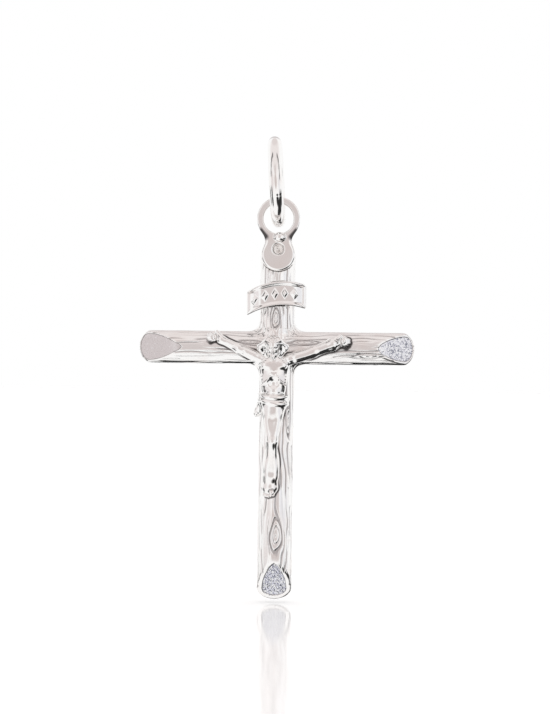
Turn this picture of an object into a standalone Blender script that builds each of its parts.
"""A silver log-cross pendant: two hollow D-section bars halved together, three inset end caps, an
eyelet plate with its jump ring, a title scroll, and a small figure held by three riveted nails.

The frame's origin is the chain's seat, at the inside of the jump ring's crown. +Z is up, -Y is the
front. Everything but the ring hangs on the empty pendant_swing, whose Y axis is the hinge. The
cross's own shapes are drawn around the crossing of its two bars.
"""

import math
from collections import namedtuple

import bmesh
import bpy
from mathutils import Matrix, Vector

MM = 0.001

# Jump ring. It leans in its own hinge, and is turned a little out of the side view.
RING_WIRE = 1.2 * MM
RING_RADIUS = 3.4 * MM
RING_LEAN = math.radians(3.4)
RING_YAW = math.radians(1.8)
WIRE_ABOVE_CROSSING = 10.99 * MM

# Bars: sections are (across, depth), with the crest in front and the flat back behind.
WALL = 0.35 * MM
BACK = 2.2 * MM
DOME_HEIGHT = 1.7 * MM
UPRIGHT_WIDTH = 3.1 * MM
UPRIGHT_CREST = -0.3 * MM
UPRIGHT_FOOT = -22.0 * MM
UPRIGHT_HEAD = 9.15 * MM
CROSSBEAM_WIDTH = 2.9 * MM
CROSSBEAM_CREST = -0.55 * MM
CROSSBEAM_REACH = 12.0 * MM
END_ROUNDING = 1.13 * MM
LAP_DEPTH = 1.2 * MM

# Scarf cuts at the foot and at both arm ends, and the stippled caps inside their rims.
SCARF_LENGTH = 3.57 * MM
SCARF_SLOPE = 0.5
CAP_THICKNESS = 0.3 * MM
CAP_RECESS = 0.04 * MM

# Eyelet plate: a loop and a tongue, flat, in the plane y = 0.
PLATE_THICKNESS = 0.9 * MM
LOOP_HEIGHT = 11.23 * MM
LOOP_RADIUS = 1.88 * MM
LOOP_HOLE = 1.34 * MM
TONGUE_HEIGHT = 8.12 * MM
TONGUE_RADIUS = 1.48 * MM
NECK_FILLET = 0.52 * MM
VENT_HEIGHT = 8.57 * MM
VENT_RADIUS = 0.52 * MM

# Title scroll: a strip bent back at both ends (a radius and an angle each). It is highest at its
# crown and droops as the square of the distance from there, times TITLE_DROOP per metre.
TITLE_TOP = 5.8 * MM
TITLE_HEIGHT = 2.1 * MM
TITLE_THICKNESS = 0.35 * MM
TITLE_BACK = -0.14 * MM
TITLE_FLAT = (-1.25 * MM, 1.1 * MM)
TITLE_CURLS = ((1.2 * MM, math.radians(72)), (1.5 * MM, math.radians(50)))
TITLE_CROWN = 0.6 * MM
TITLE_DROOP = 85.0

# Nails: name, place across, place in height, and where the head bears on the figure.
NAILS = (
    ("left_hand_nail", -5.45 * MM, 0.88 * MM, -0.58 * MM),
    ("right_hand_nail", 5.75 * MM, 0.62 * MM, -0.70 * MM),
    ("foot_nail", -0.33 * MM, -12.55 * MM, -1.02 * MM),
)
NAIL_HEAD = 0.22 * MM
NAIL_HEAD_HEIGHT = 0.12 * MM
NAIL_SHANK = 0.14 * MM

# Solder-line gap between parts that touch, and how far a cutter runs past what it cuts.
GAP = 0.04 * MM
PAST = 1.0 * MM
SLIP = 0.02 * MM

# The figure is melted into one skin at this voxel size, then thinned.
FIGURE_VOXEL = 0.17 * MM
FIGURE_THINNING = 0.3

# Finishes: colour and roughness of the silver.
BAR_FINISH = ((0.93, 0.92, 0.91), 0.12)
FITTING_FINISH = ((0.93, 0.92, 0.91), 0.08)
STIPPLED_FINISH = ((0.72, 0.73, 0.78), 0.45)
FIGURE_FINISH = ((0.95, 0.94, 0.93), 0.08)
NAIL_FINISH = ((0.9, 0.89, 0.88), 0.12)

Bar = namedtuple("Bar", "name along half_width crest low high")
UPRIGHT = Bar("upright", "Z", UPRIGHT_WIDTH / 2, UPRIGHT_CREST, UPRIGHT_FOOT, UPRIGHT_HEAD)
CROSSBEAM = Bar(
    "crossbeam", "X", CROSSBEAM_WIDTH / 2, CROSSBEAM_CREST, -CROSSBEAM_REACH, CROSSBEAM_REACH
)

# Each plane's matrix takes an outline (u, v) and its thickness w to the cross's X, Y and Z.
PLANES = {
    "XY": Matrix.Identity(4),
    "XZ": Matrix(((1, 0, 0, 0), (0, 0, -1, 0), (0, 1, 0, 0), (0, 0, 0, 1))),
    "YZ": Matrix(((0, 0, 1, 0), (1, 0, 0, 0), (0, 1, 0, 0), (0, 0, 0, 1))),
}


# ---- scene -------------------------------------------------------------------------------------


def clear_scene():
    for thing in list(bpy.data.objects):
        bpy.data.objects.remove(thing)


def make_collection(name):
    found = bpy.data.collections.get(name) or bpy.data.collections.new(name)
    if found.name not in bpy.context.scene.collection.children:
        bpy.context.scene.collection.children.link(found)
    return found


def make_material(name, colour, roughness):
    material = bpy.data.materials.new(name)
    material.use_nodes = True
    shader = material.node_tree.nodes["Principled BSDF"]
    shader.inputs["Base Color"].default_value = (*colour, 1)
    shader.inputs["Metallic"].default_value = 1
    shader.inputs["Roughness"].default_value = roughness
    return material


clear_scene()
PARTS = make_collection("log_cross_pendant")
CUTTERS = make_collection("cutters")


def make_swing():
    """The hinge: it stands in the middle of the ring's wire, where the loop hangs on it."""
    swing = bpy.data.objects.new("pendant_swing", None)
    swing.location = ring_up() * -(2 * RING_RADIUS - RING_WIRE / 2)
    PARTS.objects.link(swing)
    return swing


def ring_up():
    return Vector((-math.sin(RING_LEAN), 0, math.cos(RING_LEAN)))


def hang(thing, swing):
    """What is drawn around the crossing hangs this far below the hinge."""
    thing.parent = swing
    thing.location.z = -WIRE_ABOVE_CROSSING


def add_part(name, mesh, finish, swing=None):
    part = bpy.data.objects.new(name, mesh)
    PARTS.objects.link(part)
    part.data.materials.append(make_material(f"{name}_silver", *finish))
    if swing:
        hang(part, swing)
    return part


def add_cutter(name, mesh, swing):
    cutter = bpy.data.objects.new(name, mesh)
    CUTTERS.objects.link(cutter)
    hang(cutter, swing)
    cutter.hide_render = True
    cutter.display_type = "WIRE"
    return cutter


def combine(target, operation, other):
    boolean = target.modifiers.new(f"{operation.lower()} {other.name}", "BOOLEAN")
    boolean.operation = operation
    boolean.object = other


# ---- outlines and prisms -----------------------------------------------------------------------


def arc(centre, radius, start, end, steps):
    """Points on an arc, both ends included; radius is one number or an (u, v) pair."""
    across, along = radius if isinstance(radius, tuple) else (radius, radius)
    angles = [start + (end - start) * i / steps for i in range(steps + 1)]
    return [(centre[0] + across * math.cos(a), centre[1] + along * math.sin(a)) for a in angles]


def dome_outline(half_width, crest, spring, back, steps=14):
    """A bar's section (across, depth): a half-elliptic dome in front and a flat back."""
    dome = arc((0, spring), (half_width, crest - spring), 0, math.pi, steps)
    return [(-half_width, back), (half_width, back)] + dome


def plan_outline(half_width, low, high, tip, steps=12):
    """A bar from the front (across, along): straight sides and half-elliptic ends."""
    top = arc((0, high - tip), (half_width, tip), 0, math.pi, steps)
    bottom = arc((0, low + tip), (half_width, tip), math.pi, 2 * math.pi, steps)
    return top + bottom


def swap(outline):
    return [(v, u) for u, v in outline]


def prism_mesh(name, loops, plane, low, high):
    """Outlines in a plane, filled and extruded from low to high along the plane's third axis.

    The curve is drawn in millimetres, because Blender's fill drops details under 0.03 of a unit.
    """
    curve = bpy.data.curves.new(name, "CURVE")
    curve.dimensions = "2D"
    curve.fill_mode = "BOTH"
    curve.extrude = (high - low) / 2 / MM
    for loop in loops:
        spline = curve.splines.new("POLY")
        spline.points.add(len(loop) - 1)
        spline.use_cyclic_u = True
        for point, (u, v) in zip(spline.points, loop):
            point.co = (u / MM, v / MM, 0, 1)
    drawn = bpy.data.objects.new(name, curve)
    CUTTERS.objects.link(drawn)
    evaluated = drawn.evaluated_get(bpy.context.evaluated_depsgraph_get())
    mesh = bpy.data.meshes.new_from_object(evaluated)
    bpy.data.objects.remove(drawn)
    bpy.data.curves.remove(curve)
    shift = Matrix.Translation((0, 0, (low + high) / 2))
    mesh.transform(PLANES[plane] @ shift @ Matrix.Scale(MM, 4))
    weld_and_face_out(mesh)
    return mesh


def weld_and_face_out(mesh):
    shape = bmesh.new()
    shape.from_mesh(mesh)
    bmesh.ops.remove_doubles(shape, verts=shape.verts, dist=0.001 * MM)
    bmesh.ops.recalc_face_normals(shape, faces=shape.faces)
    shape.to_mesh(mesh)
    shape.free()
    mesh.update()


def depth_prism(name, outline, front, back):
    """An outline seen from the front (X, Z), from depth front to depth back."""
    return prism_mesh(name, [outline], "XZ", -back, -front)


def along_prism(name, bar, outline, low, high):
    """A section (across, depth) run along the bar."""
    if bar.along == "Z":
        return prism_mesh(name, [outline], "XY", low, high)
    return prism_mesh(name, [swap(outline)], "YZ", low, high)


# ---- bars --------------------------------------------------------------------------------------


def bar_block(bar, inset):
    """The bar's plan, inset all round, from front to back before its dome is shaped."""
    outline = plan_outline(
        bar.half_width - inset, bar.low + inset, bar.high - inset, END_ROUNDING - inset
    )
    if bar.along == "X":
        outline = swap(outline)
    return depth_prism(f"{bar.name}_block", outline, bar.crest - PAST, BACK - inset)


def shape_dome(target, bar, inset, swing):
    """Cuts the bar's domed front. The dome's section is a hair wider, so its sides cut nothing."""
    spring = bar.crest + DOME_HEIGHT
    section = dome_outline(bar.half_width - inset + SLIP, bar.crest + inset, spring, BACK + PAST)
    name = f"{target.name}_dome"
    mesh = along_prism(name, bar, section, bar.low - PAST, bar.high + PAST)
    combine(target, "INTERSECT", add_cutter(name, mesh, swing))


def bar_envelope(name, bar, back, swing):
    """The bar's outside, one gap larger, from its crest to the given depth."""
    spring = bar.crest + DOME_HEIGHT
    section = dome_outline(bar.half_width + GAP, bar.crest - GAP, spring, back)
    return add_cutter(name, along_prism(name, bar, section, bar.low, bar.high), swing)


def bar_hollow(name, bar, inset, swing):
    hollow = add_cutter(name, bar_block(bar, inset), swing)
    shape_dome(hollow, bar, inset, swing)
    return hollow


def scarf_line(bar, end, depth):
    """Where a scarf plane, sunk by depth, meets the crest, along the bar from its crossing."""
    sunk = depth * math.hypot(1, SCARF_SLOPE) / SCARF_SLOPE
    if end == "low":
        return bar.low + SCARF_LENGTH + sunk
    return bar.high - SCARF_LENGTH - sunk


def scarf_outline(bar, end, top, bottom):
    """A band (along, depth) between two scarf planes; top None runs out in front of the bar."""
    outward = -1 if end == "low" else 1
    run = (BACK - bar.crest + PAST) / SCARF_SLOPE
    rise = PAST / SCARF_SLOPE

    def line(depth):
        start = scarf_line(bar, end, depth)
        near = (start - outward * rise, bar.crest - PAST)
        far = (start + outward * run, bar.crest + run * SCARF_SLOPE)
        return near, far

    near, far = line(bottom)
    if top is None:
        return [near, far, (far[0], near[1])]
    top_near, top_far = line(top)
    return [near, far, top_far, top_near]


def scarf_mesh(name, bar, end, top, bottom):
    outline = scarf_outline(bar, end, top, bottom)
    half = bar.half_width + PAST
    if bar.along == "Z":
        return prism_mesh(name, [swap(outline)], "YZ", -half, half)
    return prism_mesh(name, [outline], "XY", -half, half)


def make_bar(bar, scarfed_ends, swing):
    """One hollow bar: block, dome, hollow, then the scarf cuts that open the hollow."""
    part = add_part(bar.name, bar_block(bar, 0), BAR_FINISH, swing)
    shape_dome(part, bar, 0, swing)
    combine(part, "DIFFERENCE", bar_hollow(f"{bar.name}_hollow", bar, WALL, swing))
    for end in scarfed_ends:
        name = f"{bar.name}_{end}_scarf"
        combine(part, "DIFFERENCE", add_cutter(name, scarf_mesh(name, bar, end, None, 0), swing))
    return part


def make_cap(name, bar, end, swing):
    """A plate that fills the mouth of a scarf cut, just below its rim."""
    mesh = scarf_mesh(name, bar, end, CAP_RECESS, CAP_RECESS + CAP_THICKNESS)
    cap = add_part(name, mesh, STIPPLED_FINISH, swing)
    combine(cap, "INTERSECT", bar_hollow(f"{name}_mouth", bar, WALL + GAP, swing))
    return cap


def lap_bars(upright, crossbeam, swing):
    """The halving joint: the crossbeam crosses in front, and the upright is coped round it."""
    cope = bar_envelope("upright_cope", CROSSBEAM, LAP_DEPTH + GAP, swing)
    combine(upright, "DIFFERENCE", cope)
    half = UPRIGHT.half_width + GAP
    notch = [(-half, -2 * half), (half, -2 * half), (half, 2 * half), (-half, 2 * half)]
    mesh = depth_prism("crossbeam_notch", notch, LAP_DEPTH, BACK + PAST)
    combine(crossbeam, "DIFFERENCE", add_cutter("crossbeam_notch", mesh, swing))


def cut_seats(upright, swing):
    """The flat pockets for the tongue and the title on the upright's front."""
    reach = TONGUE_RADIUS + GAP
    outline = arc((0, TONGUE_HEIGHT), reach, math.pi, 2 * math.pi, 24)
    outline += [(reach, UPRIGHT_HEAD + PAST), (-reach, UPRIGHT_HEAD + PAST)]
    mesh = depth_prism("tongue_seat", outline, UPRIGHT_CREST - PAST, PLATE_THICKNESS / 2 + GAP)
    combine(upright, "DIFFERENCE", add_cutter("tongue_seat", mesh, swing))
    across = [UPRIGHT.half_width * (i / 8 - 1) for i in range(17)]
    top = [(x, TITLE_TOP + GAP - title_droop(x)) for x in across]
    outline = top + [(x, z - TITLE_HEIGHT - 2 * GAP) for x, z in reversed(top)]
    mesh = depth_prism("title_seat", outline, UPRIGHT_CREST - PAST, TITLE_BACK + GAP)
    combine(upright, "DIFFERENCE", add_cutter("title_seat", mesh, swing))


# ---- eyelet, ring and title ----------------------------------------------------------------------


def make_eyelet_plate(swing):
    """A loop above a tongue, joined by a filleted neck, with the ring's eye and a vent hole."""
    loop_reach = LOOP_RADIUS + NECK_FILLET
    tongue_reach = TONGUE_RADIUS + NECK_FILLET
    apart = LOOP_HEIGHT - TONGUE_HEIGHT
    rise = (apart**2 + tongue_reach**2 - loop_reach**2) / (2 * apart)
    side = math.sqrt(tongue_reach**2 - rise**2)
    fillet_height = TONGUE_HEIGHT + rise
    loop_angle = math.atan2(fillet_height - LOOP_HEIGHT, side)
    tongue_angle = math.atan2(rise, side)
    loop = arc((0, LOOP_HEIGHT), LOOP_RADIUS, loop_angle, math.pi - loop_angle, 36)
    left = arc((-side, fillet_height), NECK_FILLET, -loop_angle, -tongue_angle, 6)
    low, high = math.pi - tongue_angle, 2 * math.pi + tongue_angle
    tongue = arc((0, TONGUE_HEIGHT), TONGUE_RADIUS, low, high, 28)
    low, high = math.pi + tongue_angle, math.pi + loop_angle
    right = arc((side, fillet_height), NECK_FILLET, low, high, 6)
    outline = loop + left[1:-1] + tongue + right[1:-1]
    eye = arc((0, LOOP_HEIGHT), LOOP_HOLE, 0, 2 * math.pi, 36)[:-1]
    vent = arc((0, VENT_HEIGHT), VENT_RADIUS, 0, 2 * math.pi, 16)[:-1]
    half = PLATE_THICKNESS / 2
    mesh = prism_mesh("eyelet_plate", [outline, eye, vent], "XZ", -half, half)
    return add_part("eyelet_plate", mesh, FITTING_FINISH, swing)


def make_jump_ring():
    bpy.ops.mesh.primitive_torus_add(
        major_segments=56,
        minor_segments=16,
        major_radius=RING_RADIUS,
        minor_radius=RING_WIRE / 2,
    )
    mesh = bpy.context.object.data
    bpy.data.objects.remove(bpy.context.object)
    ring = add_part("jump_ring", mesh, FITTING_FINISH)
    ring.location = ring_up() * -(RING_RADIUS - RING_WIRE / 2)
    lean = Matrix.Rotation(-RING_LEAN, 3, "Y")
    yaw = Matrix.Rotation(-RING_YAW, 3, "Z")
    on_edge = Matrix.Rotation(math.pi / 2, 3, "Y")
    ring.rotation_euler = (lean @ yaw @ on_edge).to_euler()
    return ring


def title_droop(x):
    return TITLE_DROOP * (x - TITLE_CROWN) ** 2


def title_place(run):
    """The strip's back face in plan: (across, depth) at a run along it from the middle."""
    low, high = TITLE_FLAT
    if low <= run <= high:
        return run, TITLE_BACK
    start, side = (low, -1) if run < low else (high, 1)
    radius = TITLE_CURLS[0 if run < low else 1][0]
    angle = abs(run - start) / radius
    return start + side * radius * math.sin(angle), TITLE_BACK + radius * (1 - math.cos(angle))


def make_title(swing):
    """The strip is bent back at both ends, then arched so that the ends droop."""
    left, right = (radius * angle for radius, angle in TITLE_CURLS)
    low, high = TITLE_FLAT[0] - left, TITLE_FLAT[1] + right
    shape = bmesh.new()
    bmesh.ops.create_grid(shape, x_segments=28, y_segments=2, size=0.5)
    for vertex in shape.verts:
        across, depth = title_place(low + (high - low) * (vertex.co.x + 0.5))
        height = TITLE_TOP + TITLE_HEIGHT * (vertex.co.y - 0.5) - title_droop(across)
        vertex.co = (across, depth, height)
    mesh = bpy.data.meshes.new("title_scroll")
    shape.to_mesh(mesh)
    shape.free()
    title = add_part("title_scroll", mesh, BAR_FINISH, swing)
    strip = title.modifiers.new("thickness", "SOLIDIFY")
    strip.thickness = TITLE_THICKNESS
    strip.offset = 1
    strip.use_even_offset = True
    return title


# ---- figure and nails ----------------------------------------------------------------------------


def add_ball(shape, centre, radii):
    """An ellipsoid; place and radii in millimetres."""
    size = Matrix.Diagonal((*(radius * MM for radius in radii), 1))
    matrix = Matrix.Translation(Vector(centre) * MM) @ size
    bmesh.ops.create_uvsphere(shape, u_segments=16, v_segments=10, radius=1, matrix=matrix)


def add_limb(shape, start, end, start_radius, end_radius):
    """A tapered limb with a ball at each end; places and radii in millimetres."""
    start, end = Vector(start), Vector(end)
    turn = (end - start).to_track_quat("Z", "Y").to_matrix().to_4x4()
    matrix = Matrix.Scale(MM, 4) @ Matrix.Translation((start + end) / 2) @ turn
    bmesh.ops.create_cone(
        shape,
        cap_ends=True,
        segments=16,
        radius1=start_radius,
        radius2=end_radius,
        depth=(end - start).length,
        matrix=matrix,
    )
    add_ball(shape, start, (start_radius,) * 3)
    add_ball(shape, end, (end_radius,) * 3)


def shape_trunk(shape):
    add_ball(shape, (-0.36, -1.72, 0.1), (0.86, 0.8, 1.0))
    add_ball(shape, (-0.42, -1.2, -0.1), (1.1, 0.85, 0.85))
    add_limb(shape, (-0.3, -1.3, -0.5), (-0.27, -1.1, -1.2), 0.5, 0.6)
    add_ball(shape, (-0.25, -1.1, -1.5), (1.36, 0.85, 1.0))
    add_ball(shape, (-0.26, -1.05, -2.3), (1.12, 0.82, 1.2))
    add_ball(shape, (-0.27, -0.95, -3.3), (0.95, 0.72, 1.4))
    add_ball(shape, (-0.22, -0.95, -4.6), (1.24, 0.86, 0.8))
    add_ball(shape, (-0.32, -0.95, -5.5), (1.04, 0.85, 1.1))
    add_limb(shape, (-1.35, -0.6, -4.6), (-1.5, -0.45, -5.6), 0.34, 0.44)


def shape_arms(shape):
    arms = (
        ((-1.45, -1.05, -0.85), (-3.35, -0.86, 0.2), (-4.85, -0.52, 0.82), (-5.45, -0.33, 0.98)),
        ((1.2, -1.05, -0.85), (3.3, -0.9, 0.05), (4.95, -0.72, 0.52), (5.75, -0.47, 0.66)),
    )
    for shoulder, elbow, wrist, palm in arms:
        add_limb(shape, shoulder, elbow, 0.52, 0.36)
        add_limb(shape, elbow, wrist, 0.38, 0.24)
        add_limb(shape, wrist, palm, 0.24, 0.3)
        add_ball(shape, palm, (0.55, 0.26, 0.42))


def shape_legs(shape):
    legs = (
        ((-0.72, -0.95, -5.9), (-0.5, -1.25, -8.2), (-0.5, -0.85, -11.2), (-0.45, -0.8, -12.7)),
        ((0.05, -0.95, -5.9), (-0.22, -1.3, -8.2), (-0.32, -1.0, -11.2), (-0.33, -0.72, -12.5)),
    )
    for hip, knee, ankle, toes in legs:
        add_limb(shape, hip, knee, 0.52, 0.36)
        add_limb(shape, knee, ankle, 0.36, 0.3)
        add_limb(shape, ankle, toes, 0.34, 0.36)
    add_ball(shape, (-0.42, -0.85, -9.9), (0.62, 0.5, 1.5))
    add_ball(shape, (-0.4, -0.75, -12.2), (0.66, 0.42, 0.85))


def make_corpus(swing):
    """Balls and limbs melted into one skin, its back cut to lie on both bars."""
    shape = bmesh.new()
    shape_trunk(shape)
    shape_arms(shape)
    shape_legs(shape)
    mesh = bpy.data.meshes.new("corpus")
    shape.to_mesh(mesh)
    shape.free()
    corpus = add_part("corpus", mesh, FIGURE_FINISH, swing)
    melt = corpus.modifiers.new("melt", "REMESH")
    melt.mode = "VOXEL"
    melt.voxel_size = FIGURE_VOXEL
    soften = corpus.modifiers.new("soften", "SMOOTH")
    soften.factor = 0.5
    soften.iterations = 5
    thin = corpus.modifiers.new("thin", "DECIMATE")
    thin.ratio = FIGURE_THINNING
    combine(corpus, "DIFFERENCE", bar_envelope("corpus_beam_bed", CROSSBEAM, BACK, swing))
    combine(corpus, "DIFFERENCE", bar_envelope("corpus_post_bed", UPRIGHT, BACK, swing))
    return corpus


def drill(name, place, radius, front, back, targets, swing):
    hole = depth_prism(name, arc(place, radius, 0, 2 * math.pi, 16)[:-1], front, back)
    cutter = add_cutter(name, hole, swing)
    for target in targets:
        combine(target, "DIFFERENCE", cutter)


def make_nail(name, place, bearing, swing):
    """A domed head and a shank, turned about the nail's axis, its tail flush with the back."""
    shank = BACK - bearing
    dome = arc((0, 0), (NAIL_HEAD, NAIL_HEAD_HEIGHT), math.pi / 2, 0, 4)
    tail = [(NAIL_SHANK, 0), (NAIL_SHANK, -shank), (0, -shank)]
    profile = [(0, NAIL_HEAD_HEIGHT)] + dome[1:] + tail
    mesh = bpy.data.meshes.new(name)
    edges = [(i, i + 1) for i in range(len(profile) - 1)]
    mesh.from_pydata([(radius, 0, height) for radius, height in profile], edges, [])
    nail = add_part(name, mesh, NAIL_FINISH, swing)
    nail.location += Vector((place[0], bearing, place[1]))
    nail.rotation_euler.x = math.pi / 2
    screw = nail.modifiers.new("turn", "SCREW")
    screw.steps = 16
    screw.render_steps = 16
    screw.use_merge_vertices = True
    screw.merge_threshold = 0.001 * MM
    return nail


def fasten_corpus(corpus, upright, crossbeam, swing):
    """Each nail has its own hole: a seat under its head, then a bore to the bar's back."""
    for name, across, height, bearing in NAILS:
        place = (across, height)
        targets = (corpus, upright) if name == "foot_nail" else (corpus, crossbeam)
        drill(f"{name}_bore", place, NAIL_SHANK + GAP, bearing - PAST, BACK + PAST, targets, swing)
        seat = NAIL_HEAD + GAP
        drill(f"{name}_seat", place, seat, bearing - PAST, bearing - GAP, (corpus,), swing)
        make_nail(name, place, bearing - GAP / 2, swing)


def main():
    swing = make_swing()
    upright = make_bar(UPRIGHT, ("low",), swing)
    crossbeam = make_bar(CROSSBEAM, ("low", "high"), swing)
    lap_bars(upright, crossbeam, swing)
    cut_seats(upright, swing)
    make_cap("foot_cap", UPRIGHT, "low", swing)
    make_cap("left_arm_cap", CROSSBEAM, "low", swing)
    make_cap("right_arm_cap", CROSSBEAM, "high", swing)
    make_eyelet_plate(swing)
    make_jump_ring()
    make_title(swing)
    corpus = make_corpus(swing)
    fasten_corpus(corpus, upright, crossbeam, swing)


main()
